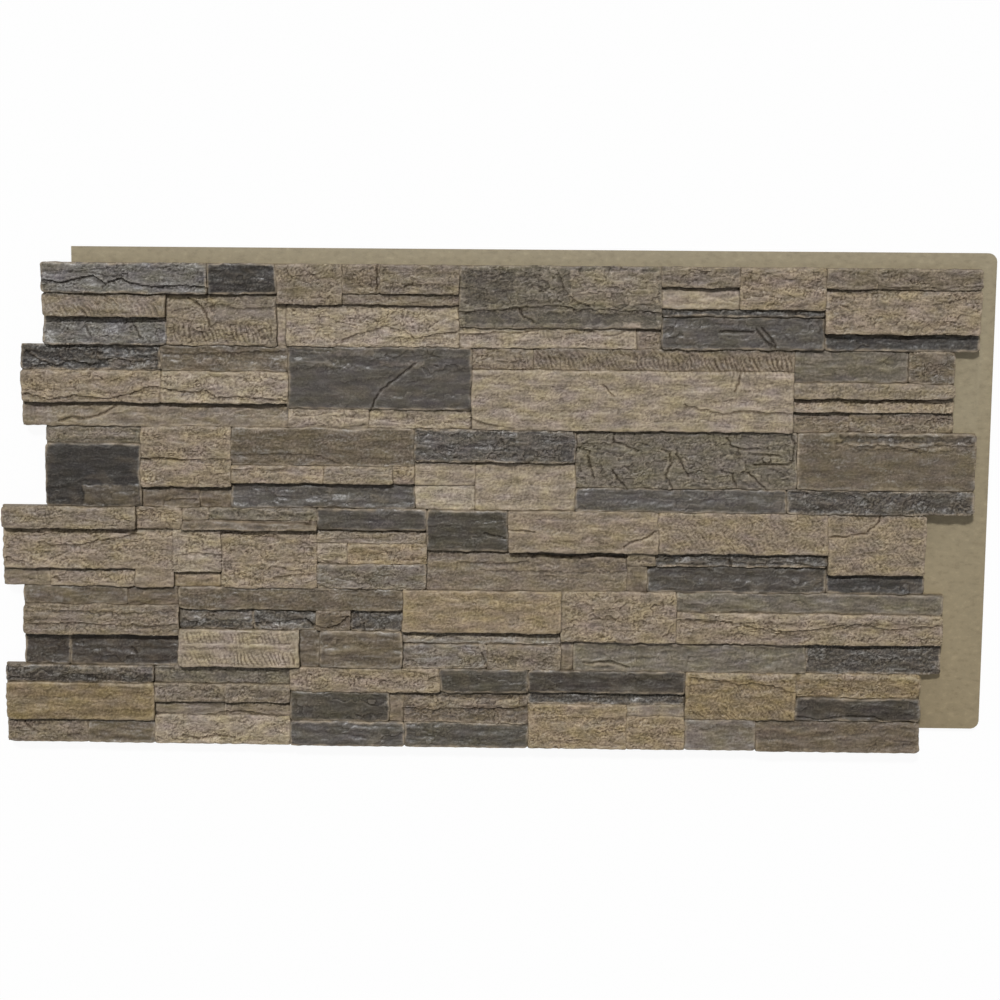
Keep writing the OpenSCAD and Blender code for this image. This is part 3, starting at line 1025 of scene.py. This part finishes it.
def brushed_paint_and_light_group():
    """Sprayed paint with dry-brushed crests and painted highlights, a painted sheen where stones
    glint, and a dark wash with painted shade in the hollows.
    """
    name = "brushed_paint_and_painted_light"
    if name in bpy.data.node_groups:
        return bpy.data.node_groups[name]
    tree = bpy.data.node_groups.new(name, "ShaderNodeTree")
    for way, kind, names in (
        ("INPUT", "Color", ("Paint", "Brush")),
        ("INPUT", "Float", ("Brush And Highlight", "Wash And Shade", "Speckle", "Grain", "Glint")),
        ("INPUT", "Vector", ("Stretch",)),
        ("OUTPUT", "Color", ("Colour",)),
        ("OUTPUT", "Float", ("Roughness", "Glaze", "Height")),
    ):
        for socket in names:
            tree.interface.new_socket(socket, in_out=way, socket_type=f"NodeSocket{kind}")
    add, subtract, times = (
        partial(math_node, tree, operation) for operation in ("ADD", "SUBTRACT", "MULTIPLY")
    )
    given = add_node(tree, "NodeGroupInput").outputs
    place = add_node(tree, "ShaderNodeTexCoord").outputs["Object"]
    drawn_out = add_node(tree, "ShaderNodeMapping")
    feed(tree, drawn_out.inputs["Scale"], given["Stretch"])
    feed(tree, drawn_out.inputs["Vector"], place)
    fine = noise_value(tree, place, scale=620.0, detail=3.0, roughness=0.7)
    coarse = noise_value(tree, place, scale=90.0, detail=4.0, roughness=0.65)
    grain = noise_value(tree, drawn_out.outputs[0], scale=400.0, detail=4.0, roughness=0.62)

    # Speckles and clouds in the base coat
    cloud_depth = add(times(given["Speckle"], 1.2), 0.18)
    shade = add(1.0, times(subtract(fine, 0.5), given["Speckle"]))
    shade = add(shade, times(subtract(coarse, 0.5), cloud_depth))
    grey = add_node(tree, "ShaderNodeCombineColor")
    for socket in grey.inputs:
        feed(tree, socket, shade)
    colour = mix_colours(tree, 1.0, given["Paint"], grey.outputs[0], "MULTIPLY")

    # Dark wash and painted shade
    hollow = times(ramp_value(tree, grain, 0.48, 0.34), given["Grain"])
    wash = add(times(given["Wash And Shade"], 0.7), times(hollow, 0.6), clamp=True)
    dark = mix_colours(tree, 1.0, colour, WASH_AND_SHADE_TINT, "MULTIPLY")
    colour = mix_colours(tree, wash, colour, dark)

    # Brushed crests with painted highlights, and a painted sheen with a real glaze on the dark
    # stones
    bright = mix_colours(tree, 1.0, given["Paint"], given["Paint"], "ADD")
    bright = mix_colours(tree, 0.22, bright, given["Brush"])
    # Painted sheen where the stones glint, which also lowers the roughness and adds a glaze
    sheen = times(given["Glint"], 0.65)
    bright = mix_colours(tree, sheen, bright, PAINTED_SHEEN_TINT)
    touch_and_highlight = add(given["Brush And Highlight"], times(ramp_value(tree, grain, 0.54, 0.68), given["Grain"]))
    touch_and_highlight = times(touch_and_highlight, times(coarse, 1.1), clamp=True)
    rough = subtract(add(0.44, times(coarse, 0.3)), times(touch_and_highlight, 0.32))
    height = add(add(times(fine, 0.5), coarse), times(grain, given["Grain"]))
    out = add_node(tree, "NodeGroupOutput")
    for name, value in (
        ("Colour", mix_colours(tree, touch_and_highlight, colour, bright)),
        ("Roughness", subtract(rough, times(sheen, 0.08))),
        ("Glaze", times(sheen, times(coarse, 0.8), clamp=True)),
        ("Height", height),
    ):
        feed(tree, out.inputs[name], value)
    return tree


def painted_foam(name, brush, speckle, stretch, bump):
    """Matt painted foam whose colour, brushed crests with painted highlights, and hollows with
    painted shade come from the mesh's own values.
    """
    material = bpy.data.materials.new(name)
    material.use_nodes = True
    tree = material.node_tree
    shader = tree.nodes["Principled BSDF"]
    group = add_node(tree, "ShaderNodeGroup", node_tree=brushed_paint_and_light_group())
    for socket, value in (("Brush", (*brush, 1.0)), ("Speckle", speckle), ("Stretch", stretch)):
        feed(tree, group.inputs[socket], value)
    for layer, output, socket in (
        ("paint", "Color", "Paint"), ("brush_and_highlight", "Fac", "Brush And Highlight"), ("wash_and_shade", "Fac", "Wash And Shade"),
        ("rough", "Fac", "Grain"), ("glint", "Fac", "Glint"),
    ):
        stored = add_node(tree, "ShaderNodeAttribute", attribute_name=layer)
        feed(tree, group.inputs[socket], stored.outputs[output])
    grain = add_node(tree, "ShaderNodeBump")
    for socket, value in (
        ("Strength", bump), ("Distance", 0.0011), ("Height", group.outputs["Height"])
    ):
        feed(tree, grain.inputs[socket], value)
    for socket, value in (
        ("Base Color", group.outputs["Colour"]),
        ("Roughness", group.outputs["Roughness"]),
        ("Coat Weight", group.outputs["Glaze"]),
        ("Coat Roughness", 0.3),
        ("Specular IOR Level", 0.38),
        ("Normal", grain.outputs["Normal"]),
    ):
        feed(tree, shader.inputs[socket], value)
    return material


class STONE_OT_course(bpy.types.Operator):
    """Builds the split stones of one course"""

    bl_idname = "stone_panel.course"
    bl_label = "Course of stones"
    index: IntProperty(name="Course", description="Number of the course, 1 at the top", default=1)

    def execute(self, context):
        i = self.index - 1
        stones = [
            make_stone(row, TEETH[i], course_foot(i), COURSE_SEED * self.index + STONE_SEED * k)
            for k, row in enumerate(COURSES[i])
        ]
        piece = join(stones, f"course_{self.index}")
        bpy.ops.object.shade_smooth_by_angle(angle=math.radians(38))
        material = bpy.data.materials.get("painted_stone") or painted_foam(
            "painted_stone", brush=paint_value("tan_light") * 1.35, speckle=0.6,
            stretch=(0.62, 1.0, 0.8), bump=0.8,
        )
        declare(piece, material)
        return {"FINISHED"}


class STONE_OT_backing(bpy.types.Operator):
    """Builds the backing plate with its flange and the mortar bed"""

    bl_idname = "stone_panel.backing"
    bl_label = "Backing and mortar bed"

    def execute(self, context):
        select_nothing()
        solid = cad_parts["panel"]
        piece = bpy.data.objects.new("backing", solid.data.copy())
        bpy.context.scene.collection.objects.link(piece)
        piece.data.materials.clear()
        piece.select_set(True)
        cut = settings().bed_height - BED_CUT
        edit_all(piece)
        bpy.ops.mesh.remove_doubles(threshold=0.00001)
        bpy.ops.mesh.select_all(action="SELECT")
        bpy.ops.mesh.bisect(
            plane_co=(0.0, 0.0, cut), plane_no=(0.0, 0.0, 1.0), use_fill=True, clear_outer=True
        )
        bpy.ops.mesh.select_all(action="SELECT")
        bpy.ops.mesh.dissolve_limited(angle_limit=math.radians(1.0))
        face_outwards()
        rounding = piece.modifiers.new("rounding", "BEVEL")
        rounding.width = 0.0012
        rounding.segments = 3
        rounding.limit_method = "ANGLE"
        rounding.angle_limit = math.radians(50)
        bpy.ops.object.modifier_apply(modifier="rounding")
        _, y, z = read_points(piece.data).T
        flange = mixed(paint_value("flange"), "flange_low", smoothstep(*FLANGE_FADE, y))
        colour = np.where((z > MORTAR_FROM)[:, None], paint_value("mortar"), flange)
        none = np.zeros(len(z))
        store(piece.data, colour, brush_and_highlight=none, wash_and_shade=none, rough=none + 0.3, glint=none)
        bpy.ops.object.shade_smooth_by_angle(angle=math.radians(35))
        material = painted_foam(
            "khaki_foam", brush=paint_value("tan_light"), speckle=0.12,
            stretch=(0.25, 0.4, 1.0), bump=0.12,
        )
        declare(piece, material)
        return {"FINISHED"}


class STONE_OT_stage(bpy.types.Operator):
    """Builds the floor, the lamps and the camera over the panel"""

    bl_idname = "stone_panel.stage"
    bl_label = "Stage"

    def execute(self, context):
        select_nothing()
        bpy.ops.mesh.primitive_plane_add(size=FLOOR_SIZE, location=(0.0, 0.0, FLOOR_Z))
        floor = bpy.context.object
        floor.name = "floor"
        material = bpy.data.materials.new("pale_floor")
        material.use_nodes = True
        tree = material.node_tree
        shader = tree.nodes["Principled BSDF"]
        feed(tree, shader.inputs["Base Color"], (0.9, 0.9, 0.9, 1.0))
        feed(tree, shader.inputs["Roughness"], 0.9)
        glow = add_node(tree, "ShaderNodeEmission")
        seen = add_node(tree, "ShaderNodeLightPath").outputs["Is Camera Ray"]
        mix = add_node(tree, "ShaderNodeMixShader")
        share = math_node(tree, "MULTIPLY", seen, FLOOR_GLOW)
        for socket, value in zip(mix.inputs, (share, shader.outputs[0], glow.outputs[0])):
            feed(tree, socket, value)
        feed(tree, tree.nodes["Material Output"].inputs["Surface"], mix.outputs[0])
        floor.data.materials.append(material)

        scene = bpy.context.scene
        scene.world = bpy.data.worlds.new("studio")
        scene.world.use_nodes = True
        tree = scene.world.node_tree
        sky = tree.nodes["Background"]
        seen = add_node(tree, "ShaderNodeLightPath").outputs["Is Camera Ray"]
        white = math_node(tree, "MULTIPLY", seen, 1.0 - SKY_LIGHT)
        feed(tree, sky.inputs["Color"], (1.0, 1.0, 1.0, 1.0))
        feed(tree, sky.inputs["Strength"], math_node(tree, "ADD", white, SKY_LIGHT))

        for name, direction, energy, softness in SUNS:
            lamp = bpy.data.lights.new(name, "SUN")
            lamp.energy = energy
            lamp.angle = math.radians(softness)
            holder = bpy.data.objects.new(name, lamp)
            holder.rotation_euler = Vector(direction).to_track_quat("Z", "Y").to_euler()
            scene.collection.objects.link(holder)

        camera = bpy.data.objects.new("camera", bpy.data.cameras.new("camera"))
        scene.collection.objects.link(camera)
        camera.data.sensor_width = CAMERA_SENSOR
        camera.data.lens = CAMERA_LENS
        camera.data.clip_end = CAMERA_REACH
        camera.location = CAMERA_PLACE
        camera.rotation_euler = [math.radians(angle) for angle in CAMERA_TURN]
        bpy.context.scene.camera = camera
        bpy.context.scene.view_settings.view_transform = "Standard"
        return {"FINISHED"}


class STONE_PT_sidebar(bpy.types.Panel):
    bl_idname = "STONE_PT_sidebar"
    bl_label = "Stone panel"
    bl_space_type = "VIEW_3D"
    bl_region_type = "UI"
    bl_category = "Stone panel"

    def draw(self, context):
        column = self.layout.column()
        for name in settings().bl_rna.properties.keys():
            if name not in ("rna_type", "name"):
                column.prop(settings(), name)
        for operator in ("course", "backing", "stage"):
            column.operator(f"stone_panel.{operator}")


CLASSES = (StonePanelSettings, STONE_OT_course, STONE_OT_backing, STONE_OT_stage, STONE_PT_sidebar)


def register():
    for cls in CLASSES:
        bpy.utils.register_class(cls)
    bpy.types.Scene.stone_panel = PointerProperty(type=StonePanelSettings)


def unregister():
    del bpy.types.Scene.stone_panel
    for cls in reversed(CLASSES):
        bpy.utils.unregister_class(cls)


def main():
    register()
    bpy.ops.stone_panel.stage()
    bpy.ops.stone_panel.backing()
    for index in range(1, len(COURSES) + 1):
        bpy.ops.stone_panel.course(index=index)


if __name__ == "__main__":
    main()
